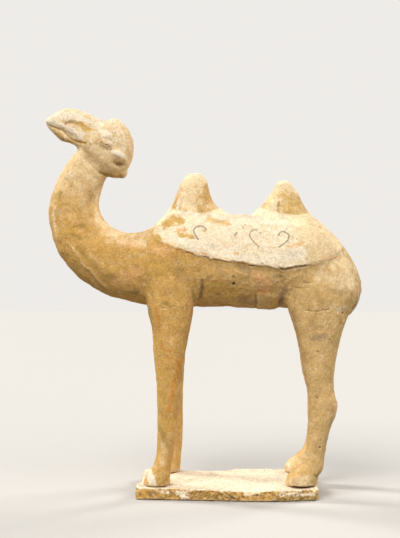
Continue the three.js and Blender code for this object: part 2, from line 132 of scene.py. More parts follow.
# Colour on the clay, by the finish that each mark is in. Some olive and smoke marks are painted shade; each is named
# where it stands.
MARKS = {
    "slip": [
        ([(-175.5, 368.5), (-167, 373), (-157, 374.5), (-146, 371)], 5, 1),
        ([(-177, 365.5), (-168.5, 365), (-163, 363.5)], 2.6, 0.95),
        ([(-157, 360.5), (-151.5, 357), (-146, 353)], 4, 0.95),
        ([(-146, 371), (-134.5, 367), (-123.5, 363.5)], 3, 0.7),
        ([(-127.5, 358.5), (-122, 355), (-115, 352)], 4, 0.85),
        ([(-134.5, 347.5), (-132.5, 343), (-133.5, 338)], 1.8, 0.55),
        ([(-111, 336), (-106.5, 334), (-101.5, 330)], 3, 0.95),
        ([(-116.5, 365.5), (-111, 367), (-105, 365.5)], 2.6, 0.55),
        ([(-156.5, 315.5), (-152.5, 311.5)], 2.2, 0.6),
        ([(-52.5, 277), (-46.5, 275.5), (-40, 276), (-31.5, 274)], 2.2, 0.95),
        ([(-47, 289.5), (-48, 283.5), (-49, 279)], 2.6, 0.6),
        ([(-41.5, 269), (-34, 269), (-25.5, 266.5)], 4.5, 0.6),
        ([(-53.5, 251), (-45, 247), (-34, 244), (-24, 242.5), (-17.5, 242)], 4.6, 1),
        ([(-32.5, 249.5), (-22.5, 247)], 4, 0.8),
        ([(-13, 235.5), (-4.5, 234.5), (6.5, 233), (17.5, 231), (27, 230)], 4.2, 1),
        ([(19, 230.5), (28.5, 229.5), (39.5, 229.5), (50.5, 231), (61.5, 232), (72, 234)], 5, 1),
        ([(61.5, 237), (72, 238.5)], 3, 0.8), ([(8.5, 266.5), (27, 266.5)], 6, 0.8),
        ([(22, 269.5), (32, 268), (39.5, 266)], 6, 0.85),
        ([(-16, 259.5), (-4.5, 252.5), (10, 249.5), (27, 247)], 8, 0.58),
        ([(25, 253.5), (39.5, 250.5), (53, 247.5)], 8, 0.55),
        ([(-76, 26.5), (-72, 20), (-69.5, 14.5)], 4.2, 0.85), ([(61.5, 18.5), (72.5, 17)], 4, 0.42),
        ([(70, 40.5), (63, 33.5)], 4.5, 0.8), ([(102, 184.5), (111, 184), (105.5, 178.5)], 4.5, 0.4),
    ],
    "golden": [
        ([(-60, 263.5), (-54, 267.5), (-46, 267.5)], 4.6, 0.95), ([(-67.5, 249.5), (-67.5, 244)], 4, 1),
        ([(-46, 253.5), (-37, 252), (-32.5, 250.5)], 2.3, 0.8),
        ([(-18, 269), (-10, 266.5), (1, 264)], 3, 0.55),
        ([(54, 294), (61.5, 289.5), (59.5, 278.5), (54, 282)], 5, 0.6), ([(69, 286), (75, 276.5)], 3.4, 0.4),
        ([(-74.5, 224), (-66, 217.5), (-61.5, 222.5)], 7, 0.75), ([(-71, 204), (-71, 192)], 2.6, 0.7),
        ([(-166, 295), (-165, 285), (-158.5, 285)], 4, 0.6), ([(-162, 257), (-150, 260)], 4.5, 0.65),
        ([(-164, 246), (-156.5, 233), (-142, 218)], 4.5, 0.5),
        ([(-123.5, 239.5), (-117, 227.5), (-113, 213.5)], 4.5, 0.6), ([(-157, 366), (-149, 364.5)], 1.5, 0.7),
        ([(-145.5, 364.5), (-141.5, 361.5), (-135.5, 358.5)], 2.5, 0.9),
        ([(-135.5, 358.5), (-127.5, 357.5)], 1.5, 0.5),
        ([(-172.5, 360), (-167, 355), (-163, 351.5), (-157, 349.5)], 2.4, 0.95),
        ([(-154.5, 349), (-147.5, 346.5), (-140.5, 345)], 1.9, 0.85),
        ([(-17, 203), (-2, 201.5), (5, 197)], 7, 0.7), ([(45.5, 191), (46.5, 185.5)], 3, 0.6),
        ([(-68, 149.5), (-65.5, 108.5), (-58.5, 67.5)], 7, 0.5), ([(83.5, 28), (60.5, 24)], 2.4, 0.5),
    ],
    "peach": [
        ([(-66, 238.5), (-58, 237.5)], 5.5, 0.85), ([(-106.5, 209.5), (-96, 213), (-86.5, 217.5)], 7.5, 0.6),
        ([(29.5, 212), (38.5, 209), (34.5, 200)], 7, 0.75), ([(95, 230), (105.5, 231)], 2.6, 0.6),
        ([(102, 216), (109, 218)], 4.5, 0.35), ([(121.5, 204), (121.5, 197)], 2.6, 0.5),
        ([(-46.5, 257), (-41.5, 259)], 2.4, 1), ([(-74, 245.5), (-72.5, 239.5)], 4.5, 0.55),
        ([(58.5, 241.5), (66, 243), (73.5, 245.5)], 1.3, 1), ([(91, 230.5), (100.5, 231.5)], 2.4, 0.6),
        ([(-102, 246), (-85.5, 244)], 5, 0.5), ([(-151, 276.5), (-148.5, 271)], 2.2, 0.5),
        ([(7.5, 234.5), (10.5, 234.5)], 1.5, 0.9), ([(-22, 224.5), (-19, 223.5)], 1.2, 0.9),
        ([(-99.5, 358.5), (-95.5, 344.5), (-99.5, 327.5)], 3.5, 0.35),
    ],
    "olive_and_shade": [
        ([(-155.5, 303), (-152, 302)], 1.6, 0.7), ([(-164, 297), (-166, 291)], 1.8, 0.6),
        ([(-164, 284), (-157.5, 284)], 1.8, 0.7), ([(-156.5, 269.5)], 1.6, 0.7), ([(-168.5, 269)], 1.6, 0.6),
        ([(-150, 262), (-140, 263.5)], 2.2, 0.8), ([(-135.5, 288.5), (-134.5, 293)], 1.8, 0.5),
        ([(-151, 254), (-142, 251)], 2.6, 0.6),
        ([(-145.5, 241.5), (-137, 232), (-126, 220), (-117, 209), (-108.5, 212.5)], 3.4, 0.6),
        # The second mark here is painted shadow along the neck's lower edge where it meets the chest.
        ([(-121, 214.5), (-110.5, 213)], 3.6, 0.65), ([(-94.5, 198), (-85, 198.5)], 2.6, 0.65),
        # The second mark here is painted shade in the crease behind the near foreleg.
        ([(-61, 187.5), (-55.5, 186.5)], 1.7, 1), ([(-32.5, 198.5), (-31.5, 190)], 2.6, 0.7),
        # The second mark here is painted shadow under the belly's swelling.
        ([(-9.5, 196), (-6, 195.5)], 1.2, 0.8), ([(12.5, 194), (23.5, 193.5)], 2.6, 0.55),
        # The first mark here is painted shade on the belly's underside.
        ([(-13, 187.5), (1.5, 185)], 2.6, 0.6), ([(74, 207.5), (79, 207)], 0.8, 0.9),
        ([(66.5, 202.5), (72.5, 202), (81, 203)], 0.9, 0.7), ([(84.5, 198), (90, 188)], 3.6, 0.5),
        ([(98.5, 199.5), (109, 197)], 3.4, 0.5), ([(120.5, 198), (119, 189)], 2.6, 0.5),
        ([(50.5, 286), (50.5, 275.5)], 1.8, 0.7), ([(55.5, 275), (62.5, 276.5)], 1.8, 0.5),
        ([(-124, 345), (-118, 341.5), (-113.5, 338.5)], 2.4, 0.6),
        # Painted shade: the dark hollow under the ear's lobe.
        ([(-111, 326), (-107.5, 324), (-102.5, 324.5)], 1.7, 1),
        # The first mark here is painted shadow under the cheek's lower edge.
        ([(-127.5, 317), (-120.5, 314.5), (-105, 313)], 1.4, 0.85), ([(-66, 101.5), (-60, 95)], 2.4, 0.5),
        ([(-64, 67.5), (-55.5, 50)], 3, 0.6), ([(57.5, 26), (60.5, 26.5)], 1, 0.9),
        ([(83.5, 24.5), (86.5, 21)], 1.3, 0.9), ([(-76, 12.5), (-65.5, 11.5)], 1, 0.7),
        ([(-27.5, 277)], 1.2, 0.8), ([(-24.5, 278.5), (-25, 273.5)], 0.9, 0.7),
        ([(-41, 277.5), (-36.5, 277), (-30.5, 275.5)], 0.5, 0.7), ([(20.5, 230.5)], 1, 0.6),
    ],
    "iron": [
        ([(-67.5, 182.5), (-66, 172.5), (-64.5, 160.5)], 1.9, 0.85),
        ([(-63, 145.5), (-58.5, 141.5), (-53, 142)], 1.5, 0.85),
        ([(-57, 136), (-47.5, 132.5), (-43, 133)], 1, 1),
        ([(-45.5, 130.5), (-47.5, 119.5), (-50.5, 108.5), (-53, 95), (-55, 84)], 2, 0.95),
        ([(-54.5, 81.5), (-53, 67.5), (-51.5, 51)], 1.8, 0.45), ([(-42.5, 106), (-43.5, 67.5)], 1.4, 0.8),
        ([(-50.5, 30.5), (-46, 32)], 1.8, 0.85), ([(-47.5, 239.5), (-40, 237), (-32.5, 235)], 1.1, 0.9),
        ([(-23.5, 235), (-16.5, 234)], 1.4, 0.8), ([(4, 227.5), (16, 226)], 0.8, 0.8),
        ([(30.5, 200), (35.5, 199)], 1, 0.8), ([(111, 178)], 1.3, 0.9), ([(109, 171.5), (109, 164.5)], 2, 0.5),
        ([(-9.5, 209), (-3.5, 209.5)], 1.2, 0.6),
    ],
    "smoke_and_shade": [
        ([(85, 154.5), (91, 154.5)], 4.2, 0.85), ([(78, 166), (98.5, 162.5)], 6, 0.4),
        ([(82, 136), (85, 108.5)], 5, 0.25), ([(-8, 220.5), (-4.5, 216)], 3.8, 0.55),
        ([(12.5, 222.5), (20.5, 219)], 3.8, 0.7), ([(24, 219)], 1.2, 0.6),
        # Painted shade: this mark darkens the crease behind the near foreleg.
        ([(-23.5, 209), (-24, 200), (-27.5, 191)], 1.5, 0.9),
        # Painted shade: the first mark darkens the crease before the hind leg, the second the shadow under the belly's
        # swelling.
        ([(55.5, 201.5), (54, 194), (52.5, 186.5)], 3, 0.85), ([(10.5, 190.5), (27.5, 187.5)], 3.4, 0.6),
        ([(6, 213), (9, 212.5)], 1.3, 0.7), ([(-38, 258.5)], 0.9, 0.9), ([(-52.5, 252)], 1.1, 0.6),
        ([(-4.5, 238)], 0.9, 0.8), ([(23.5, 234.5)], 0.9, 0.6), ([(-34.5, 284)], 0.9, 0.8),
        ([(-20, 285.5)], 0.8, 0.8), ([(-47.5, 226.5), (-46, 210.5)], 5, 0.45), ([(-97.5, 243.5)], 0.7, 0.8),
        ([(-94.5, 199.5)], 1.2, 0.6), ([(90, 262), (91, 259.5)], 0.9, 0.9), ([(75.5, 254.5)], 0.9, 0.4),
    ],
    "cream": [
        ([(90, 246), (107.5, 228.5), (115.5, 211)], 15, 0.62),
        ([(-129, 311.5), (-129, 289.5), (-127, 270), (-117, 257), (-102, 247), (-80, 246)], 4.6, 0.6),
        ([(-142, 302.5), (-141, 278.5)], 7, 0.35), ([(-99.5, 361.5), (-95, 344.5), (-99.5, 326)], 4, 0.6),
        ([(-127.5, 330.5), (-116.5, 326)], 6, 0.4), ([(-134.5, 356), (-130.5, 349.5)], 3.4, 0.6),
        ([(-60, 51), (-61, 33.5)], 4, 0.3),
        ([(92, 214), (112, 205)], 9, 0.5), ([(-40, 284), (-35, 302)], 13, 0.85),
        ([(58.5, 300.5), (39.5, 281.5)], 6, 0.6), ([(48, 284), (56, 302)], 13, 0.75),
        ([(-171.5, 284), (-172, 270), (-168.5, 255)], 2, 0.6), ([(68.5, 18.5), (78, 22.5)], 5, 0.4),
    ],
    "ink": [
        ([(-27.5, 248.5), (-30, 252.5), (-32, 256.5), (-31, 259.5), (-28.5, 261.5), (-25, 262),
          (-22.5, 261), (-20, 258.5), (-21.5, 257)], 0.95, 1),
        ([(9.5, 255), (7.5, 252.5)], 1, 0.9), ([(7.5, 252.5), (4, 251)], 0.6, 0.5),
        ([(30.5, 241.5), (26, 246), (22.5, 250.5), (22, 253.5), (23.5, 256.5), (26, 258), (29, 258)], 0.8, 0.9),
        ([(49.5, 252.5), (51.5, 255.5), (55, 256), (58, 254), (59.5, 251.5), (58, 247.5), (54, 244),
          (49.5, 241)], 0.85, 1),
        ([(1, 257)], 0.9, 0.6), ([(15.5, 260.5)], 1.4, 0.7),
        ([(12, 266), (13.5, 266.5), (15, 265.5)], 0.6, 0.4), ([(1, 246)], 1, 0.5), ([(32.5, 255)], 1.2, 0.75),
        ([(33, 262.5)], 1.1, 0.4), ([(67, 249)], 0.9, 0.6), ([(-15.5, 261), (-11.5, 261.5)], 0.5, 0.25),
    ],
}


def metres(name, description, default):
    return bpy.props.FloatProperty(name=name, description=description, default=default, min=0.0, unit="LENGTH")


def strength(name, description, default):
    return bpy.props.FloatProperty(name=name, description=description, default=default, min=0.0)


def colour(name, description, default):
    return bpy.props.FloatVectorProperty(
        name=name, description=description, default=default, size=3, min=0.0, max=1.0, subtype="COLOR"
    )


class CamelForm(bpy.types.PropertyGroup):
    """Sizes of the camel's skin and of what is carved in it."""

    grid: metres("Grid", "Spacing of the skin's faces before the detailed places are divided", 0.0023)
    cloth_edge: metres("Cloth edge", "How far the saddle cloth's edge stands out", 0.0008)
    slip_thickness: metres("Slip thickness", "Thickness of the white slip that has stayed", 0.0003)
    dent_depth: metres("Dent depth", "Unevenness left by the mould and the hand", 0.0014)
    grain_depth: metres("Grain depth", "Roughness of the worn clay", 0.0008)


class ClayColours(bpy.types.PropertyGroup):
    """Colours of the clay, its slip, paint and stains, some of them also used for painted shade and painted highlight.
    """

    buff: colour("Buff", "Fired clay of the hindquarters", (0.60, 0.40, 0.17))
    ochre: colour("Ochre", "Fired clay of the neck and forelegs", (0.58, 0.34, 0.10))
    cream: colour("Cream", "Thin wash of slip", (0.82, 0.66, 0.42))
    # Also the colour of the painted highlight on ridges.
    slip: colour("Slip", "White slip", (0.85, 0.75, 0.59))
    golden: colour("Golden", "Yellow ochre clay", (0.54, 0.33, 0.08))
    peach: colour("Peach", "Pinkish orange clay and paint", (0.74, 0.42, 0.19))
    # Also the colour of painted shadow under the cheek and the ear's lobe, along the neck's lower edge, in the crease
    # behind the foreleg and on the belly's underside.
    olive_and_shade: colour("Olive", "Earth-darkened mottling", (0.28, 0.18, 0.05))
    iron: colour("Iron", "Rust stain", (0.56, 0.23, 0.035))
    # Also the colour of painted shade in the creases behind the foreleg and before the hind leg, and under the belly's
    # swelling.
    smoke_and_shade: colour("Smoke", "Grey-violet stain", (0.25, 0.18, 0.12))
    # Also the colour of painted shade in every hollow.
    earth_and_shade: colour("Earth", "Earth left in cracks and hollows", (0.12, 0.065, 0.022))
    ink: colour("Ink", "Ink of the painted curls", (0.16, 0.13, 0.09))


class SlabForm(bpy.types.PropertyGroup):
    """Sizes of the slab's finish."""

    grid: metres("Grid", "Spacing of the slab's faces", 0.00105)
    edge_wear: metres("Edge wear", "How deep its edges are broken", 0.0012)
    grain_depth: metres("Grain depth", "Roughness of the slab's clay", 0.0005)


class StageSettings(bpy.types.PropertyGroup):
    """The studio's floor, light and camera."""

    floor: colour("Floor", "Colour of the floor as the camera sees it", (0.53, 0.525, 0.515))
    bounce: colour("Bounce", "Colour of the light that the floor throws back", (0.2, 0.185, 0.16))
    key: strength("Key light", "Strength of the broad light from the front left", 2.85)
    fill: strength("Fill light", "Strength of the broad light from the front right", 1.25)
    left_rim: strength("Left rim light", "Strength of the light from behind on the left", 2.35)
    right_rim: strength("Right rim light", "Strength of the light from behind on the right", 2.0)
    air: strength("Surroundings", "Strength of the light from all round", 0.16)
    lens: bpy.props.FloatProperty(name="Lens", description="Focal length", default=69.59, unit="CAMERA")


# Mesh helpers

def read(mesh, field):
    """One value per coordinate of every vertex, as rows of three."""
    values = np.empty(len(mesh.vertices) * 3)
    mesh.vertices.foreach_get(field, values)
    return values.reshape(-1, 3)


def write_points(mesh, points):
    mesh.vertices.foreach_set("co", points.ravel())
    mesh.update()


def edge_ends(mesh):
    ends = np.empty(len(mesh.edges) * 2, dtype=np.int32)
    mesh.edges.foreach_get("vertices", ends)
    return ends.reshape(-1, 2)


def neighbour_mean(values, ends):
    """The mean of each vertex's neighbours."""
    count = len(values)
    first, second = ends[:, 0], ends[:, 1]
    degree = np.bincount(first, minlength=count) + np.bincount(second, minlength=count)
    rows = values.reshape(count, -1)
    total = np.empty_like(rows)
    for column in range(rows.shape[1]):
        total[:, column] = np.bincount(first, rows[second, column], count)
        total[:, column] += np.bincount(second, rows[first, column], count)
    return (total / np.maximum(degree, 1)[:, None]).reshape(values.shape)


def smooth_form(mesh, rounds, strength=1.0):
    """Rounds facets off without shrinking the form; strength may differ from vertex to vertex."""
    points = read(mesh, "co")
    ends = edge_ends(mesh)
    strength = np.broadcast_to(strength, len(points))[:, None]
    for _ in range(rounds):
        for factor in (0.5, -0.52):
            points += factor * strength * (neighbour_mean(points, ends) - points)
    write_points(mesh, points)


def copy_of_node(node, name):
    """A merged copy of a CAD node's mesh, as a new object."""
    form = bmesh.new()
    form.from_mesh(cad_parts[node].data)
    bmesh.ops.remove_doubles(form, verts=form.verts, dist=0.001 * MM)
    mesh = bpy.data.meshes.new(name)
    form.to_mesh(mesh)
    form.free()
    piece = bpy.data.objects.new(name, mesh)
    bpy.context.scene.collection.objects.link(piece)
    return piece


def bake_modifiers(piece):
    """Turns a piece with its modifiers into a plain mesh."""
    view = bpy.context.evaluated_depsgraph_get()
    mesh = bpy.data.meshes.new_from_object(piece.evaluated_get(view))
    piece.modifiers.clear()
    piece.data = mesh


def remesh(piece, spacing):
    """Covers a piece with even faces."""
    modifier = piece.modifiers.new("Even faces", "REMESH")
    modifier.mode = "VOXEL"
    modifier.voxel_size = spacing
    bake_modifiers(piece)


def refine(mesh, inside):
    """Divides the faces whose corners all lie inside into four."""
    form = bmesh.new()
    form.from_mesh(mesh)
    edges = [edge for edge in form.edges if inside[edge.verts[0].index] and inside[edge.verts[1].index]]
    bmesh.ops.subdivide_edges(form, edges=edges, cuts=1, use_grid_fill=True)
    form.to_mesh(mesh)
    form.free()


def keep_in_box(mesh, node):
    """Cuts off whatever stands out of the CAD node's own box."""
    low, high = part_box(node)
    write_points(mesh, np.clip(read(mesh, "co"), np.array(low), np.array(high)))


def finish_piece(piece, node):
    """Shades a piece smooth and stands it in for its CAD node."""
    piece.data.polygons.foreach_set("use_smooth", [True] * len(piece.data.polygons))
    piece.data.update()
    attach(piece, "root")
    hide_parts(node)


# Shapes of marks

def smoothstep(value, low, high):
    t = np.clip((value - low) / (high - low), 0, 1)
    return t * t * (3 - 2 * t)


def waves(points, size, seed, count=14):
    """Even random unevenness of about the given size, roughly from -1 to 1."""
    random = np.random.default_rng(seed)
    directions = random.normal(size=(count, 3))
    directions /= np.linalg.norm(directions, axis=1)[:, None]
    lengths = size * random.uniform(0.7, 1.5, count)
    phases = random.uniform(0, 2 * math.pi, count)
    turns = points @ (directions * (2 * math.pi / lengths)[:, None]).T + phases
    return np.sin(turns).sum(axis=1) * math.sqrt(2 / count) * 0.6


def rounded_path(path, steps=5):
    """A path with its corners rounded."""
    corners = np.array([path[0], *path, path[-1]], float)
    points = []
    for before, start, end, after in zip(corners, corners[1:], corners[2:], corners[3:]):
        for t in np.arange(steps) / steps:
            bend = 2 * before - 5 * start + 4 * end - after
            twist = 3 * (start - end) + after - before
            points.append(start + 0.5 * t * (end - before + t * (bend + t * twist)))
    return np.array([*points, corners[-1]])


def from_path(across, up, path):
    """The distance from a path, with its sign (above a path that runs back is positive), and the share along it."""
    points = rounded_path(path)
    best = np.full(across.shape, 1e9)
    sign = np.ones_like(across)
    along = np.zeros_like(across)
    lengths = np.linalg.norm(np.diff(points, axis=0), axis=1)
    starts = np.concatenate([[0], np.cumsum(lengths)])
    if not starts[-1]:
        return np.hypot(across - path[0][0], up - path[0][1]), best, along + 0.5
    for start, end, length, before in zip(points, points[1:], lengths, starts):
        dx, dz = (end - start) / length
        t = np.clip((across - start[0]) * dx + (up - start[1]) * dz, 0, length)
        off_x, off_z = across - start[0] - t * dx, up - start[1] - t * dz
        distance = np.hypot(off_x, off_z)
        nearer = distance < best
        best[nearer] = distance[nearer]
        sign[nearer] = np.sign(dx * off_z - dz * off_x)[nearer]
        along[nearer] = (before + t[nearer]) / starts[-1]
    return best, sign * best, along


def hill(distance, width):
    return np.exp(-((distance / width) ** 2))


def near_marks(across, up, marks, reach):
    """Runs through marks, with the vertices that each can touch, and their distance and share along its path."""
    for path, width, height in marks:
        low, high = np.min(path, axis=0) - reach * width, np.max(path, axis=0) + reach * width
        inside = np.flatnonzero((across > low[0]) & (across < high[0]) & (up > low[1]) & (up < high[1]))
        if len(inside):
            distance, _, along = from_path(across[inside], up[inside], path)
            yield inside, distance / width, along, height


def painted(skin, name, wander=1.0):
    """The strongest of a finish's marks at every vertex, with soft and wandering edges."""
    across, up = skin.moved()
    wobble = 0.3 * waves(skin.points, 9, 11) + 0.24 * waves(skin.points, 4, 12) + 0.14 * waves(skin.points, 2, 13)
    total = np.zeros_like(across)
    for inside, distance, _, amount in near_marks(across, up, skin.marks[name], 2.0):
        distance = distance + wander * wobble[inside]
        total[inside] = np.maximum(total[inside], amount * (1 - smoothstep(distance, 0.3, 1.5)))
    return total


def carved(across, up, marks):
    """The sum of ridges (positive) and furrows (negative)."""
    total = np.zeros_like(across)
    for inside, distance, _, height in near_marks(across, up, marks, 3):
        total[inside] += height * hill(distance, 1)
    return total


class Skin:
    """A mesh's vertices in millimetres, for carving along their normals."""

    def __init__(self, mesh, marks=None):
        self.mesh = mesh
        self.marks = marks or MARKS
        self.points = read(mesh, "co") / MM
        self.normals = read(mesh, "normal")
        self.x, self.y, self.z = self.points.T
        self.sideways = smoothstep(np.abs(self.normals[:, 1]), 0.15, 0.5)
        self.near = smoothstep(-self.y, -2, 6)
        self.head = smoothstep(self.z, 306, 314)

    def push(self, distance):
        """Moves every vertex outwards by its own distance."""
        write_points(self.mesh, (self.points + self.normals * distance[:, None]) * MM)

    def moved(self):
        """The side view's places, a little moved on the hidden side so that it has marks of its own."""
        shift = 9 * (1 - self.near) * (1 - self.head)
        return self.x + shift, self.z - 0.4 * shift


# The camel's relief

def cloth_cover(skin):
    """How far above the hem a place lies, the share along the hem, and how much of it is cloth."""
    ragged = 0.4 * waves(skin.points, 5, 21) + 0.25 * waves(skin.points, 2.5, 22)
    _, above, along = from_path(skin.x, skin.z, HEM)
    above = above + ragged
    cover = smoothstep(above, -0.7, 0.7) * smoothstep(skin.x, -90, -76) * smoothstep(skin.z, 214, 218)
    for collar in HUMP_COLLARS:
        off, over, _ = from_path(skin.x, skin.z, collar)
        cover = cover * (1 - smoothstep(over, -0.8, 0.8) * smoothstep(30 - off, 0, 6))
    return above, along, cover


def touched_by(skin, marks, reach):
    """Where any of the marks is near."""
    touched = np.zeros(len(skin.x), bool)
    for inside, distance, _, _ in near_marks(skin.x, skin.z, marks, reach):
        touched[inside[distance < reach]] = True
    return touched


def detail_places(skin):
    """Where the camel's skin needs finer faces: first once, then twice."""
    near = skin.y < -8
    x, z = skin.x, skin.z
    cloth = (z > 215) & (z < 292) & (x > -82) & (x < 118)
    belly = (z > 178) & (z < 218) & (x > -42) & (x < 64)
    joints = np.abs(z - 182) < 6
    feet = z < 32
    head = z > 309
    ridge = touched_by(skin, BODY_FORMS, 3)
    thin = CRACKS + PITS + MARKS["ink"]
    twice = touched_by(skin, thin, 3.2) & near & (skin.sideways > 0.3)
    twice |= touched_by(skin, [form for form in FACE_FORMS if form[1] < 2], 2) & head
    once = head | near & (cloth | belly | joints | feet | ridge)
    return once | twice, twice


def face_relief(skin):
    """The face, the same on both sides, with a worn and pitted eye."""
    pitted = carved(skin.x, skin.z, WORN_EYE) * waves(skin.points, 2.2, 31)
    return (carved(skin.x, skin.z, FACE_FORMS) + pitted) * skin.sideways * skin.head


def body_relief(skin, edge_height):
    """The cloth's edge, the creases behind the legs, the belly's fold and what the hand has left."""
    above, along, cover = cloth_cover(skin)
    steep = smoothstep(along, 0.2, 0.36) * (1 - smoothstep(along, 0.66, 0.8))
    lip = 0.4 * hill(above - 1.6, 1.4) * (0.6 + 0.4 * waves(skin.points, 14, 3)) - 0.25 * hill(above + 1.3, 1.0)
    cloth = edge_height * (cover - 0.5) * (0.15 + 0.85 * steep) + lip * steep
    creases = carved(skin.x, skin.z, CREASES) * (0.4 + 0.6 * skin.sideways)
    forms = carved(skin.x, skin.z, BODY_FORMS) * skin.near * skin.sideways
    fold = BELLY_FOLD
    wobble = 0.5 * waves(skin.points, 6, 5)
    on_fold = smoothstep(skin.x + wobble, fold["front"] - 0.5, fold["front"] + 0.5)
    on_fold *= 1 - smoothstep(skin.x + wobble, fold["back"] - 7, fold["back"])
    on_fold *= 1 - smoothstep(skin.z + wobble, fold["top"] - 4, fold["top"] + 2)
    before = hill(skin.x - fold["front"] + 1.4, 1.5) * (1 - smoothstep(skin.z, 193, 198))
    belly = (fold["height"] * on_fold - before * (1 - smoothstep(skin.z, 196, 212))) * skin.near
    return (cloth + creases + belly) * smoothstep(skin.z, 176, 180) + forms


def cracks_and_pits(skin):
    """Thin cracks and small pits, all on the side that the photograph shows."""
    across = skin.x + 0.35 * waves(skin.points, 4, 41)
    up = skin.z + 0.35 * waves(skin.points, 4, 42)
    depth = np.zeros_like(across)
    uneven = 0.75 + 0.35 * waves(skin.points, 6, 43)
    for inside, distance, share, height in near_marks(across, up, CRACKS, 4):
        ends = smoothstep(share, 0, 0.12) * (1 - smoothstep(share, 0.88, 1))
        depth[inside] += height * uneven[inside] * ends * hill(distance, 1)
        depth[inside] -= 0.2 * height * ends * hill(distance - 2.2, 1)
    for inside, distance, _, height in near_marks(across, up, PITS, 1.2):
        depth[inside] -= height * (1 - smoothstep(distance, 0.45, 1.1))
    return depth * skin.near * skin.sideways


def sole_seam(skin):
    """The open seam under the near hind foot, and the cracks at its heel."""
    under = hill(skin.z - SLAB_TOP - 0.4, 0.9) * smoothstep(skin.x, 60, 66) * (1 - smoothstep(skin.x, 86, 90))
    heel = hill(np.hypot(skin.x - 87.5, (skin.z - 22.5) / 1.6), 1.5)
    return -(1.9 * under * smoothstep(-skin.y, 38, 44) + 1.0 * heel * smoothstep(-skin.y, 30, 38))


def unevenness(skin):
    """Hollows and swells left by the hand, stronger on the trunk than on the head."""
    broad = 0.34 * waves(skin.points, 34, 51) + 0.24 * waves(skin.points, 15, 52)
    rough = smoothstep(skin.z, 180, 190) * (1 - smoothstep(skin.z, 215, 222)) * smoothstep(skin.x, -30, -20)
    broad = broad + 0.16 * rough * waves(skin.points, 4.5, 54)
    calm = np.maximum(0.6 * skin.head, 0.6 * (1 - smoothstep(skin.z, 168, 184)))
    return (broad + 0.13 * waves(skin.points, 7, 53)) * (1 - calm)


def tucked_belly(skin):
    """The skin's points, with the belly drawn in between the legs so that they stand out from it."""
    between = smoothstep(skin.x, -27, -23) * (1 - smoothstep(skin.x, 50, 56))
    points = skin.points.copy()
    points[:, 1] *= 1 - 0.09 * between * (1 - smoothstep(skin.z, 188, 214))
    return points


# The camel's paint, with painted shade in its hollows and painted highlight on its ridges

def slip_left(skin):
    """How much white slip has stayed, from 0 to 1."""
    above, along, cover = cloth_cover(skin)
    ragged = 0.1 * waves(skin.points, 8, 61) + 0.09 * waves(skin.points, 3, 62) + 0.07 * waves(skin.points, 1.7, 63)
    on_cloth = 0.56 * cover * (1 - smoothstep(skin.x, 58, 84)) * (1 - smoothstep(skin.z, 276, 290))
    on_snout = 0.44 * skin.head * smoothstep(skin.z + 0.5 * skin.x, 275, 290)
    slip = np.maximum(painted(skin, "slip"), np.maximum(on_cloth, on_snout))
    bare = np.maximum(painted(skin, "golden"), painted(skin, "peach"))
    lip = 4.5 - 3.3 * smoothstep(along, 0.36, 0.5)
    kept = smoothstep(above + 1.5 * waves(skin.points, 6, 65), 0.3 * lip, lip)
    by_hem = (skin.z > 214) * (skin.x > -80) * (1 - skin.head) * (skin.z < 272)
    return np.clip((slip + ragged * (slip > 0.02) - 0.9 * bare) * (1 - by_hem * (1 - kept)), 0, 1)


def cream_left(skin):
    """How much thin cream wash has stayed, with painted top light making the upward-facing places paler."""
    _, _, cover = cloth_cover(skin)
    # Partly cream wash, partly painted top light: the higher places are paler the more they face up.
    top = smoothstep(skin.normals[:, 2], 0.2, 0.9) * smoothstep(skin.z, 225, 260)
    wash = np.maximum(painted(skin, "cream"), 0.9 * cover * (1 - 0.25 * smoothstep(skin.x, 70, 84)))
    up_the_neck = 0.62 * smoothstep(skin.z, 240, 335) * smoothstep(-skin.x, 60, 100)
    wash = np.maximum(wash, np.maximum(0.55 * top, up_the_neck))
    return np.clip(wash + 0.08 * waves(skin.points, 11, 64), 0, 1)


def write_mask(mesh, name, values):
    mesh.attributes.new(name, "FLOAT", "POINT").data.foreach_set("value", values.astype(np.float32))


def hollows_and_ridges(mesh):
    """How far each vertex lies below its surroundings, and how far above, against its faces' size."""
    points = read(mesh, "co") / MM
    ends = edge_ends(mesh)
    lengths = np.linalg.norm(points[ends[:, 0]] - points[ends[:, 1]], axis=1)
    count = len(points)
    size = np.bincount(ends[:, 0], lengths, count) + np.bincount(ends[:, 1], lengths, count)
    size /= np.maximum(np.bincount(ends.ravel(), minlength=count), 1)
    mean = points
    for _ in range(3):
        mean = neighbour_mean(mean, ends)
    below = ((mean - points) * read(mesh, "normal")).sum(axis=1) / size
    below = 0.5 * (below + neighbour_mean(below, ends))
    return smoothstep(below, 0.05, 0.35), smoothstep(-below, 0.05, 0.35)


def paint_camel(mesh):
    """Leaves on the mesh how much of each finish there is at every vertex, with painted shade in the hollows and
    painted highlight on the ridges.
    """
    skin = Skin(mesh)
    hollow_dirt_and_shade, ridge = hollows_and_ridges(mesh)
    # Earth in the cracks, pits and the seam under the hind foot, and painted shade in every hollow of the mesh.
    write_mask(mesh, "hollow_dirt_and_shade", np.maximum(0.45 * hollow_dirt_and_shade, smoothstep(-cracks_and_pits(skin) - sole_seam(skin), 0.3, 1.9)))
    # Painted highlight: the ridge mask lays pale slip colour on every convex edge.
    write_mask(mesh, "ridge", ridge)
    write_mask(mesh, "slip", slip_left(skin))
    write_mask(mesh, "cream", cream_left(skin))
    write_mask(mesh, "ink", painted(skin, "ink", 0.3) * skin.near)
    for name in ("golden", "peach", "olive_and_shade", "iron", "smoke_and_shade"):
        write_mask(mesh, name, painted(skin, name))


# Node helpers

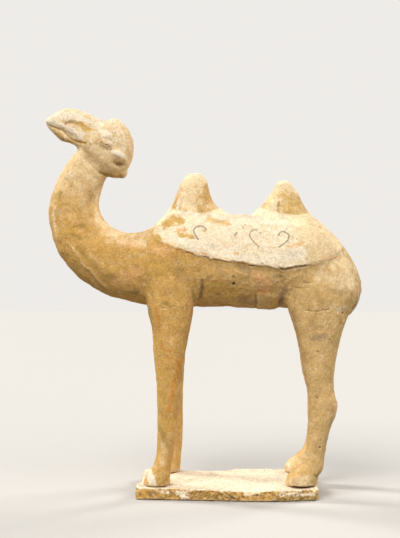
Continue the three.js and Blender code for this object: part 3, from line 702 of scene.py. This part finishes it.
def node(tree, kind, inputs=None, **settings):
    """Adds a node, with values or other nodes' outputs on its inputs."""
    new = tree.nodes.new(kind)
    for name, value in settings.items():
        setattr(new, name, value)
    for key, value in (inputs or {}).items():
        if isinstance(value, bpy.types.NodeSocket):
            tree.links.new(value, new.inputs[key])
        else:
            new.inputs[key].default_value = value
    return new


def calc(tree, operation, *values, clamp=False):
    """A sum, product or other calculation on numbers."""
    return node(tree, "ShaderNodeMath", dict(enumerate(values)), operation=operation, use_clamp=clamp).outputs[0]


def ramp(tree, value, low, high, to_low=0.0, to_high=1.0):
    """A smooth change from one number to another while the value goes from low to high."""
    inputs = {"Value": value, "From Min": low, "From Max": high, "To Min": to_low, "To Max": to_high}
    return node(tree, "ShaderNodeMapRange", inputs, interpolation_type="SMOOTHSTEP").outputs["Result"]


def over(tree, below, above, amount):
    """One colour laid over another."""
    below = (*below, 1) if isinstance(below, tuple) else below
    above = (*above, 1) if isinstance(above, tuple) else above
    return node(tree, "ShaderNodeMix", {0: amount, 6: below, 7: above}, data_type="RGBA").outputs[2]


def noise(tree, vector, scale, detail=3.0, roughness=0.5, warp=0.0):
    """Noise from 0 to 1; scale is one over its size in metres."""
    inputs = {"Vector": vector, "Scale": scale, "Detail": detail, "Roughness": roughness, "Distortion": warp}
    return node(tree, "ShaderNodeTexNoise", inputs).outputs[0]


def new_group(name, kind, inputs, outputs):
    """An empty node group; inputs and outputs are (name, socket type, default)."""
    tree = bpy.data.node_groups.new(name, kind)
    for direction, sockets in (("INPUT", inputs), ("OUTPUT", outputs)):
        for socket_name, socket_type, default in sockets:
            socket = tree.interface.new_socket(socket_name, in_out=direction, socket_type=socket_type)
            if default is not None:
                socket.default_value = default
    return tree, tree.nodes.new("NodeGroupInput").outputs, tree.nodes.new("NodeGroupOutput").inputs


NUMBER = "NodeSocketFloat"
VECTOR = "NodeSocketVector"
SHAPE = "NodeSocketGeometry"


def ragged_group():
    """Gives a soft mask a ragged edge."""
    inputs = [("Mask", NUMBER, 0.0), ("Vector", VECTOR, None), ("Size", NUMBER, 0.003), ("Raggedness", NUMBER, 0.6),
              ("Softness", NUMBER, 0.08)]
    tree, given, out = new_group("Ragged edge", "ShaderNodeTree", inputs, [("Mask", NUMBER, None)])
    grain = noise(tree, given["Vector"], calc(tree, "DIVIDE", 1.0, given["Size"]), 5.0, 0.66)
    shift = calc(tree, "MULTIPLY", calc(tree, "SUBTRACT", grain, 0.5), given["Raggedness"])
    present = ramp(tree, given["Mask"], 0.0, 0.12)
    moved = calc(tree, "MULTIPLY_ADD", shift, present, given["Mask"])
    low = calc(tree, "SUBTRACT", 0.5, given["Softness"])
    high = calc(tree, "ADD", 0.5, given["Softness"])
    tree.links.new(ramp(tree, moved, low, high), out["Mask"])
    return tree


def mottling_group():
    """Brightness, patches and dark specks of soil-stained clay."""
    inputs = [("Vector", VECTOR, None), ("Patch Size", NUMBER, 0.016), ("Speck Size", NUMBER, 0.004),
              ("Contrast", NUMBER, 1.0)]
    outputs = [("Shade", NUMBER, None), ("Patches", NUMBER, None), ("Specks", NUMBER, None)]
    tree, given, out = new_group("Clay mottling", "ShaderNodeTree", inputs, outputs)
    shade = 1.0
    for size, detail, amount in ((0.0022, 4.0, 1.25), (0.007, 2.0, 0.4), (0.02, 2.0, 0.25)):
        grain = noise(tree, given["Vector"], 1 / size, detail, 0.72)
        weight = calc(tree, "MULTIPLY", given["Contrast"], amount)
        shade = calc(tree, "MULTIPLY_ADD", calc(tree, "SUBTRACT", grain, 0.5), weight, shade)
    tree.links.new(shade, out["Shade"])
    patches = noise(tree, given["Vector"], calc(tree, "DIVIDE", 1.0, given["Patch Size"]), 6.0, 0.68, 0.6)
    tree.links.new(ramp(tree, patches, 0.42, 0.68), out["Patches"])
    speck_scale = calc(tree, "DIVIDE", 1.0, given["Speck Size"])
    cells = node(tree, "ShaderNodeTexVoronoi", {"Vector": given["Vector"], "Scale": speck_scale}).outputs["Distance"]
    some = ramp(tree, noise(tree, given["Vector"], 90, 3.0), 0.44, 0.58)
    tree.links.new(calc(tree, "MULTIPLY", ramp(tree, cells, 0.12, 0.24, 1.0, 0.0), some), out["Specks"])
    return tree


def grain_group():
    """The height of worn clay's fine grain and pinholes."""
    inputs = [("Vector", VECTOR, None), ("Pinholes", NUMBER, 1.0)]
    tree, given, out = new_group("Clay grain", "ShaderNodeTree", inputs, [("Height", NUMBER, None)])
    coarse = noise(tree, given["Vector"], 400, 5.0, 0.68)
    fine = noise(tree, given["Vector"], 1500, 3.0, 0.7)
    cells = node(tree, "ShaderNodeTexVoronoi", {"Vector": given["Vector"], "Scale": 280.0}).outputs["Distance"]
    holes = calc(tree, "MULTIPLY", ramp(tree, cells, 0.05, 0.2, 1.0, 0.0), given["Pinholes"])
    height = calc(tree, "MULTIPLY_ADD", fine, 0.35, coarse)
    tree.links.new(calc(tree, "SUBTRACT", height, holes), out["Height"])
    return tree


def use_group(tree, make, name, inputs):
    """Places a shared node group, which is made the first time."""
    group = bpy.data.node_groups.get(name) or make()
    return node(tree, "ShaderNodeGroup", inputs, node_tree=group).outputs


def ragged(tree, vector, name, size, raggedness, softness):
    """A mask that was painted on the mesh, with ragged edges."""
    painted_mask = node(tree, "ShaderNodeAttribute", attribute_name=name).outputs["Fac"]
    inputs = {"Mask": painted_mask, "Vector": vector, "Size": size, "Raggedness": raggedness, "Softness": softness}
    return use_group(tree, ragged_group, "Ragged edge", inputs)["Mask"]


def new_material(name):
    """A material with nothing but its shader and output."""
    material = bpy.data.materials.new(name)
    material.use_nodes = True
    tree = material.node_tree
    tree.nodes.clear()
    shader = tree.nodes.new("ShaderNodeBsdfPrincipled")
    output = tree.nodes.new("ShaderNodeOutputMaterial")
    tree.links.new(shader.outputs["BSDF"], output.inputs["Surface"])
    return material, tree, shader


def dress_clay(tree, shader, vector, base, shade, distance, pinholes):
    """Shades the colour and gives the shader its dull, grainy surface."""
    shaded = node(tree, "ShaderNodeVectorMath", {0: base, "Scale": shade}, operation="SCALE").outputs[0]
    tree.links.new(shaded, shader.inputs["Base Color"])
    shader.inputs["Roughness"].default_value = 0.9
    shader.inputs["Specular IOR Level"].default_value = 0.25
    height = use_group(tree, grain_group, "Clay grain", {"Vector": vector, "Pinholes": pinholes})["Height"]
    bump = node(tree, "ShaderNodeBump", {"Height": height, "Distance": distance, "Strength": 0.8})
    tree.links.new(bump.outputs["Normal"], shader.inputs["Normal"])


# Finishes over the camel's clay, from the lowest up: mask, size and raggedness of its edge, softness and cover.
# Ridge is a painted highlight in the slip's colour, the hollow layer is earth and painted shade, and olive and smoke
# also carry some painted shade.
CAMEL_LAYERS = [
    ("cream", 0.006, 0.7, 0.5, 0.95), ("golden", 0.004, 0.8, 0.35, 0.85), ("peach", 0.003, 0.7, 0.35, 0.7),
    ("olive_and_shade", 0.0022, 1.0, 0.3, 0.65), ("smoke_and_shade", 0.003, 0.8, 0.35, 0.55), ("iron", 0.003, 0.9, 0.3, 0.65),
    ("slip", 0.0028, 0.8, 0.25, 0.85), ("ridge", 0.002, 0.5, 0.5, 0.25), ("ink", 0.0014, 0.7, 0.35, 0.65),
    ("hollow_dirt_and_shade", 0.0012, 0.4, 0.4, 0.75),
]
# Ridges take the slip's colour as a painted highlight; hollows take the earth colour as earth and painted shade.
LAYER_COLOURS = {"ridge": "slip", "hollow_dirt_and_shade": "earth_and_shade"}


def lay_finishes(tree, vector, base, layers, colours):
    for name, size, raggedness, softness, cover in layers:
        shown = calc(tree, "MULTIPLY", ragged(tree, vector, name, size, raggedness, softness), cover)
        base = over(tree, base, tuple(getattr(colours, LAYER_COLOURS.get(name, name))), shown)
    return base


def slipped_clay(colours):
    """The camel's clay: buff and ochre, mottled, slipped, painted and stained, with painted shade in hollows, creases
    and under the belly, neck and cheek, and painted highlight on ridges.
    """
    material, tree, shader = new_material("slipped_clay")
    vector = node(tree, "ShaderNodeTexCoord").outputs["Object"]
    place = node(tree, "ShaderNodeSeparateXYZ", {0: vector}).outputs
    mottle = use_group(tree, mottling_group, "Clay mottling", {"Vector": vector})
    drift = calc(tree, "MULTIPLY_ADD", noise(tree, vector, 20), 0.06, place["X"])
    base = over(tree, tuple(colours.ochre), tuple(colours.buff), ramp(tree, drift, -0.03, 0.1))
    base = over(tree, base, tuple(colours.olive_and_shade), calc(tree, "MULTIPLY", mottle["Patches"], 0.32))
    pale = ramp(tree, noise(tree, vector, 140, 5.0, 0.7), 0.5, 0.75)
    base = over(tree, base, tuple(colours.cream), calc(tree, "MULTIPLY", pale, 0.45))
    base = over(tree, base, tuple(colours.olive_and_shade), calc(tree, "MULTIPLY", mottle["Specks"], 0.6))
    base = lay_finishes(tree, vector, base, CAMEL_LAYERS, colours)
    dress_clay(tree, shader, vector, base, mottle["Shade"], 0.0011, 0.5)
    return material


# The slab's finishes, from the lowest up; ridge is a painted highlight, and the hollow layer is earth and painted
# shade.
SLAB_LAYERS = [
    ("golden", 0.004, 0.8, 0.35, 0.8), ("olive_and_shade", 0.003, 1.0, 0.3, 0.6), ("smoke_and_shade", 0.003, 0.8, 0.35, 0.5),
    ("iron", 0.003, 0.9, 0.3, 0.5), ("slip", 0.004, 0.9, 0.3, 0.85), ("ridge", 0.002, 0.6, 0.4, 0.3),
    ("hollow_dirt_and_shade", 0.0015, 0.5, 0.4, 0.6),
]


def slab_clay(colours):
    """The slab's clay: chalky on top, mottled brown round its edge, with painted shade in its hollows and painted
    highlight on its ridges.
    """
    material, tree, shader = new_material("slab_clay")
    vector = node(tree, "ShaderNodeTexCoord").outputs["Object"]
    inputs = {"Vector": vector, "Patch Size": 0.013, "Speck Size": 0.0045, "Contrast": 1.4}
    mottle = use_group(tree, mottling_group, "Clay mottling", inputs)
    base = over(tree, tuple(colours.ochre), tuple(colours.olive_and_shade), calc(tree, "MULTIPLY", mottle["Patches"], 0.45))
    base = over(tree, base, tuple(colours.smoke_and_shade), calc(tree, "MULTIPLY", mottle["Specks"], 0.4))
    base = lay_finishes(tree, vector, base, SLAB_LAYERS, colours)
    dress_clay(tree, shader, vector, base, mottle["Shade"], 0.0008, 0.7)
    return material


def worn_skin_tree():
    """Geometry Nodes that give a surface dents and grain, and its material."""
    inputs = [("Geometry", SHAPE, None), ("Dent Depth", NUMBER, 0.0009), ("Dent Size", NUMBER, 0.02),
              ("Grain Depth", NUMBER, 0.0002), ("Grain Size", NUMBER, 0.003), ("Seed", NUMBER, 0.0),
              ("Material", "NodeSocketMaterial", None)]
    tree, given, out = new_group("Worn skin", "GeometryNodeTree", inputs, [("Geometry", SHAPE, None)])
    place = node(tree, "GeometryNodeInputPosition").outputs[0]
    height = 0.0
    for depth, size, detail in (("Dent Depth", "Dent Size", 2.0), ("Grain Depth", "Grain Size", 4.0)):
        field = {"Vector": place, "W": given["Seed"], "Detail": detail, "Scale": calc(tree, "DIVIDE", 1.0, given[size])}
        bumps = node(tree, "ShaderNodeTexNoise", field, noise_dimensions="4D").outputs[0]
        height = calc(tree, "MULTIPLY_ADD", calc(tree, "SUBTRACT", bumps, 0.5), given[depth], height)
    along = node(tree, "GeometryNodeInputNormal").outputs[0]
    offset = node(tree, "ShaderNodeVectorMath", {0: along, "Scale": height}, operation="SCALE").outputs[0]
    moved = node(tree, "GeometryNodeSetPosition", {"Geometry": given["Geometry"], "Offset": offset}).outputs[0]
    whole = node(tree, "GeometryNodeRealizeInstances", {"Geometry": moved}).outputs[0]
    dressed = node(tree, "GeometryNodeSetMaterial", {"Geometry": whole, "Material": given["Material"]}).outputs[0]
    tree.links.new(dressed, out["Geometry"])
    return tree


def wear_skin(piece, depth, size, grain, material, seed):
    """Runs the worn skin's tree on a piece, and keeps the result as a plain mesh."""
    tree = bpy.data.node_groups.get("Worn skin") or worn_skin_tree()
    values = {"Dent Depth": depth, "Dent Size": size, "Grain Depth": grain, "Grain Size": 0.0034, "Seed": seed,
              "Material": material}
    modifier = piece.modifiers.new(tree.name, "NODES")
    modifier.node_group = tree
    for item in tree.interface.items_tree:
        if item.item_type == "SOCKET" and item.in_out == "INPUT" and item.name in values:
            modifier[item.identifier] = values[item.name]
    bake_modifiers(piece)


# The slab

SLAB_CHIPS = [(-85, -48, 4.5), (-38, -53, 3), (20, -56, 3.5), (57, -54, 4), (84, -48, 4), (-20, 44, 5), (74, 51, 4)]
# How far the near top edge sags along the slab.
NEAR_EDGE_DIP = [(-90, 0.0), (-46, -0.4), (-20, -1.0), (8, -2.0), (27, -2.3), (40, -1.4), (60, -0.7), (88, 0.0)]
# Colour on the near side face.
SLAB_MARKS = {
    "golden": [([(-84, 8), (-76, 6)], 4.5, 0.9), ([(-10, 8), (0, 5)], 3, 0.5), ([(70, 9), (82, 8)], 3, 0.6)],
    "olive_and_shade": [([(-31, 5), (3, 6)], 3.5, 0.7), ([(43, 3), (81, 4)], 2.6, 0.9), ([(-60, 3), (-50, 8)], 2.5, 0.6)],
    "smoke_and_shade": [([(-72, 5.5)], 3, 0.8), ([(4, 3), (8, 3)], 2, 0.7), ([(28, 6)], 3, 0.5)],
    "iron": [([(-16, 8), (-6, 9)], 2, 0.7), ([(-83, 3)], 2.5, 0.5)],
    "slip": [([(-47, 7), (-38, 5)], 3.2, 0.85), ([(16, 8), (30, 8.5)], 2.2, 0.65), ([(51, 7.5), (82, 6.5)], 2.2, 0.7),
             ([(-66, 9), (-56, 8)], 2.2, 0.55)],
}


def slab_relief(skin):
    """Broken edges and clay drawn up and down along the top."""
    edge_y = np.maximum(skin.y - 42, -48 - skin.y)
    rim = smoothstep(np.maximum(edge_y, np.abs(skin.x) - 80), -2, 5)
    rough = 0.5 * waves(skin.points, 7, 71) + 0.35 * waves(skin.points, 3, 72) + 0.2 * waves(skin.points, 1.6, 73)
    top = smoothstep(skin.normals[:, 2], 0.3, 0.8)
    side = 1 - smoothstep(np.abs(skin.normals[:, 2]), 0.2, 0.7)
    relief = rim * rough * (0.5 + side) * smoothstep(skin.z, 0, 1.5)
    for x, y, radius in SLAB_CHIPS:
        off = np.sqrt((skin.x - x) ** 2 + (skin.y - y) ** 2 + (skin.z - SLAB_TOP) ** 2)
        relief -= 1.6 * (1 - smoothstep(off, 0.4 * radius, radius))
    return relief + top * (0.35 * waves(skin.points, 26, 74) - 0.15 * waves(skin.points, 9, 75)) - 0.35


def sag_near_edge(skin):
    """Lowers the near top edge."""
    x, depth = zip(*NEAR_EDGE_DIP)
    points = skin.points.copy()
    share = smoothstep(-skin.y, 30, 54) * smoothstep(skin.z, 3, SLAB_TOP)
    points[:, 2] += np.interp(skin.x, x, depth) * share
    write_points(skin.mesh, points * MM)


def paint_slab(mesh):
    skin = Skin(mesh, SLAB_MARKS)
    hollow_dirt_and_shade, ridge = hollows_and_ridges(mesh)
    top = smoothstep(skin.normals[:, 2], 0.35, 0.9) * smoothstep(skin.z, 7, 10.5)
    # Painted shade in the slab's hollows and painted highlight on its ridges.
    write_mask(mesh, "hollow_dirt_and_shade", hollow_dirt_and_shade)
    write_mask(mesh, "ridge", ridge)
    for name in SLAB_MARKS:
        amount = painted(skin, name) * (1 - top)
        if name == "slip":
            amount = np.maximum(amount, 0.85 * top) + 0.12 * waves(skin.points, 8, 81) * top
        write_mask(mesh, name, np.clip(amount, 0, 1))


# Operators

class CLAY_OT_camel(bpy.types.Operator):
    """Make the camel's worn, slipped and painted skin around its CAD solid"""

    bl_idname = "clay_camel.camel"
    bl_label = "Camel"
    bl_options = {"REGISTER", "UNDO"}

    def execute(self, context):
        form, colours = context.scene.camel_form, context.scene.clay_colours
        piece = copy_of_node("camel", "clay_camel")
        self.even_out(piece, form.grid)
        mesh = piece.data
        write_points(mesh, tucked_belly(Skin(mesh)) * MM)
        skin = Skin(mesh)
        skin.push(unevenness(skin) + face_relief(skin) + body_relief(skin, form.cloth_edge / MM))
        skin = Skin(mesh)
        slip = form.slip_thickness / MM * smoothstep(slip_left(skin), 0.4, 0.6)
        skin.push(slip + cracks_and_pits(skin) + sole_seam(skin))
        wear_skin(piece, form.dent_depth, 0.016, form.grain_depth, slipped_clay(colours), 3.0)
        keep_in_box(piece.data, "camel")
        paint_camel(piece.data)
        finish_piece(piece, "camel")
        print("camel triangles", sum(len(p.vertices) - 2 for p in piece.data.polygons))
        return {"FINISHED"}

    def even_out(self, piece, grid):
        """Rounds the facets off, and divides the faces of the detailed places."""
        remesh(piece, grid)
        mesh = piece.data
        skin = Skin(mesh)
        calm = 1 - 0.75 * smoothstep(skin.z, 306, 316) - 0.5 * (1 - smoothstep(skin.z, 30, 40))
        smooth_form(mesh, 26, calm)
        once, _ = detail_places(Skin(mesh))
        refine(mesh, once)
        smooth_form(mesh, 3)
        _, twice = detail_places(Skin(mesh))
        refine(mesh, twice)
        smooth_form(mesh, 2)


class CLAY_OT_slab(bpy.types.Operator):
    """Make the slab's worn and broken surface around its CAD solid"""

    bl_idname = "clay_camel.slab"
    bl_label = "Slab"
    bl_options = {"REGISTER", "UNDO"}

    def execute(self, context):
        form, colours = context.scene.slab_form, context.scene.clay_colours
        piece = copy_of_node("base_slab", "clay_slab")
        remesh(piece, form.grid)
        mesh = piece.data
        smooth_form(mesh, 6)
        skin = Skin(mesh)
        skin.push(slab_relief(skin))
        sag_near_edge(Skin(mesh))
        wear_skin(piece, form.edge_wear, 0.012, form.grain_depth, slab_clay(colours), 8.0)
        keep_in_box(piece.data, "base_slab")
        paint_slab(piece.data)
        finish_piece(piece, "base_slab")
        print("slab triangles", sum(len(p.vertices) - 2 for p in piece.data.polygons))
        return {"FINISHED"}


class CLAY_OT_stage(bpy.types.Operator):
    """Lay the studio's floor, set its lights and stand its camera where the photograph was taken from"""

    bl_idname = "clay_camel.stage"
    bl_label = "Stage"
    bl_options = {"REGISTER", "UNDO"}

    def execute(self, context):
        settings = context.scene.stage_settings
        self.lay_floor(context, settings)
        self.set_world(context.scene, settings)
        self.hang_light(context, "Key light", (30, 44), settings.key, 42)
        self.hang_light(context, "Fill light", (-42, 28), settings.fill, 60)
        self.hang_light(context, "Left rim light", (114, 33), settings.left_rim, 14)
        self.hang_light(context, "Right rim light", (-126, 28), settings.right_rim, 24)
        self.stand_camera(context, settings.lens)
        context.scene.view_settings.view_transform = "Standard"
        return {"FINISHED"}

    def lay_floor(self, context, settings):
        """A wide round floor under the slab."""
        form = bmesh.new()
        bmesh.ops.create_circle(form, cap_ends=True, segments=96, radius=6.0)
        mesh = bpy.data.meshes.new("floor")
        form.to_mesh(mesh)
        form.free()
        floor = bpy.data.objects.new("floor", mesh)
        context.scene.collection.objects.link(floor)
        material, tree, shader = new_material("floor_paper")
        seen = node(tree, "ShaderNodeLightPath").outputs["Is Camera Ray"]
        tree.links.new(over(tree, tuple(settings.bounce), tuple(settings.floor), seen), shader.inputs["Base Color"])
        shader.inputs["Roughness"].default_value = 0.85
        mesh.materials.append(material)

    def set_world(self, scene, settings):
        """Pale surroundings that light the figure softly, and that the camera sees as bright as the floor."""
        world = bpy.data.worlds.new("studio")
        world.use_nodes = True
        tree = world.node_tree
        background = tree.nodes["Background"]
        seen = node(tree, "ShaderNodeLightPath").outputs["Is Camera Ray"]
        background.inputs["Color"].default_value = (1.0, 0.975, 0.94, 1)
        tree.links.new(ramp(tree, seen, 0.0, 1.0, settings.air, 0.86), background.inputs["Strength"])
        scene.world = world

    def hang_light(self, context, name, direction, power, softness):
        """A soft distant light. Direction is (degrees from the camera's side round to the left, degrees up)."""
        light = bpy.data.lights.new(name, "SUN")
        light.energy = power
        light.angle = math.radians(softness)
        light.color = (1.0, 0.96, 0.9)
        lamp = bpy.data.objects.new(name, light)
        round_left, up = direction
        lamp.rotation_euler = (math.radians(90 - up), 0, math.radians(-round_left))
        context.scene.collection.objects.link(lamp)

    def stand_camera(self, context, lens):
        """The camera, level with the breast and turned a little to the left and up."""
        camera = bpy.data.cameras.new("camera")
        camera.lens = lens
        camera.clip_end = 50
        holder = bpy.data.objects.new("camera", camera)
        holder.location = (0.003, -1.040, 0.2096)
        holder.rotation_euler = (math.radians(90.606), 0, math.radians(1.652))
        context.scene.collection.objects.link(holder)
        context.scene.camera = holder


class CLAY_PT_panel(bpy.types.Panel):
    """The camel's pieces and their settings."""

    bl_label = "Clay Camel"
    bl_idname = "CLAY_PT_panel"
    bl_space_type = "VIEW_3D"
    bl_region_type = "UI"
    bl_category = "Clay Camel"

    def draw(self, context):
        groups = {"clay_camel.camel": ("camel_form", "clay_colours"), "clay_camel.slab": ("slab_form",),
                  "clay_camel.stage": ("stage_settings",)}
        for operator, names in groups.items():
            box = self.layout.box()
            for name in names:
                settings = getattr(context.scene, name)
                for setting in settings.__annotations__:
                    box.prop(settings, setting)
            box.operator(operator)


SETTINGS = {"camel_form": CamelForm, "clay_colours": ClayColours, "slab_form": SlabForm,
            "stage_settings": StageSettings}
CLASSES = (*SETTINGS.values(), CLAY_OT_camel, CLAY_OT_slab, CLAY_OT_stage, CLAY_PT_panel)


def register():
    for item in CLASSES:
        bpy.utils.register_class(item)
    for name, group in SETTINGS.items():
        setattr(bpy.types.Scene, name, bpy.props.PointerProperty(type=group))


def unregister():
    for name in SETTINGS:
        delattr(bpy.types.Scene, name)
    for item in reversed(CLASSES):
        bpy.utils.unregister_class(item)


def main():
    register()
    bpy.ops.clay_camel.camel()
    bpy.ops.clay_camel.slab()
    bpy.ops.clay_camel.stage()


if __name__ == "__main__":
    main()
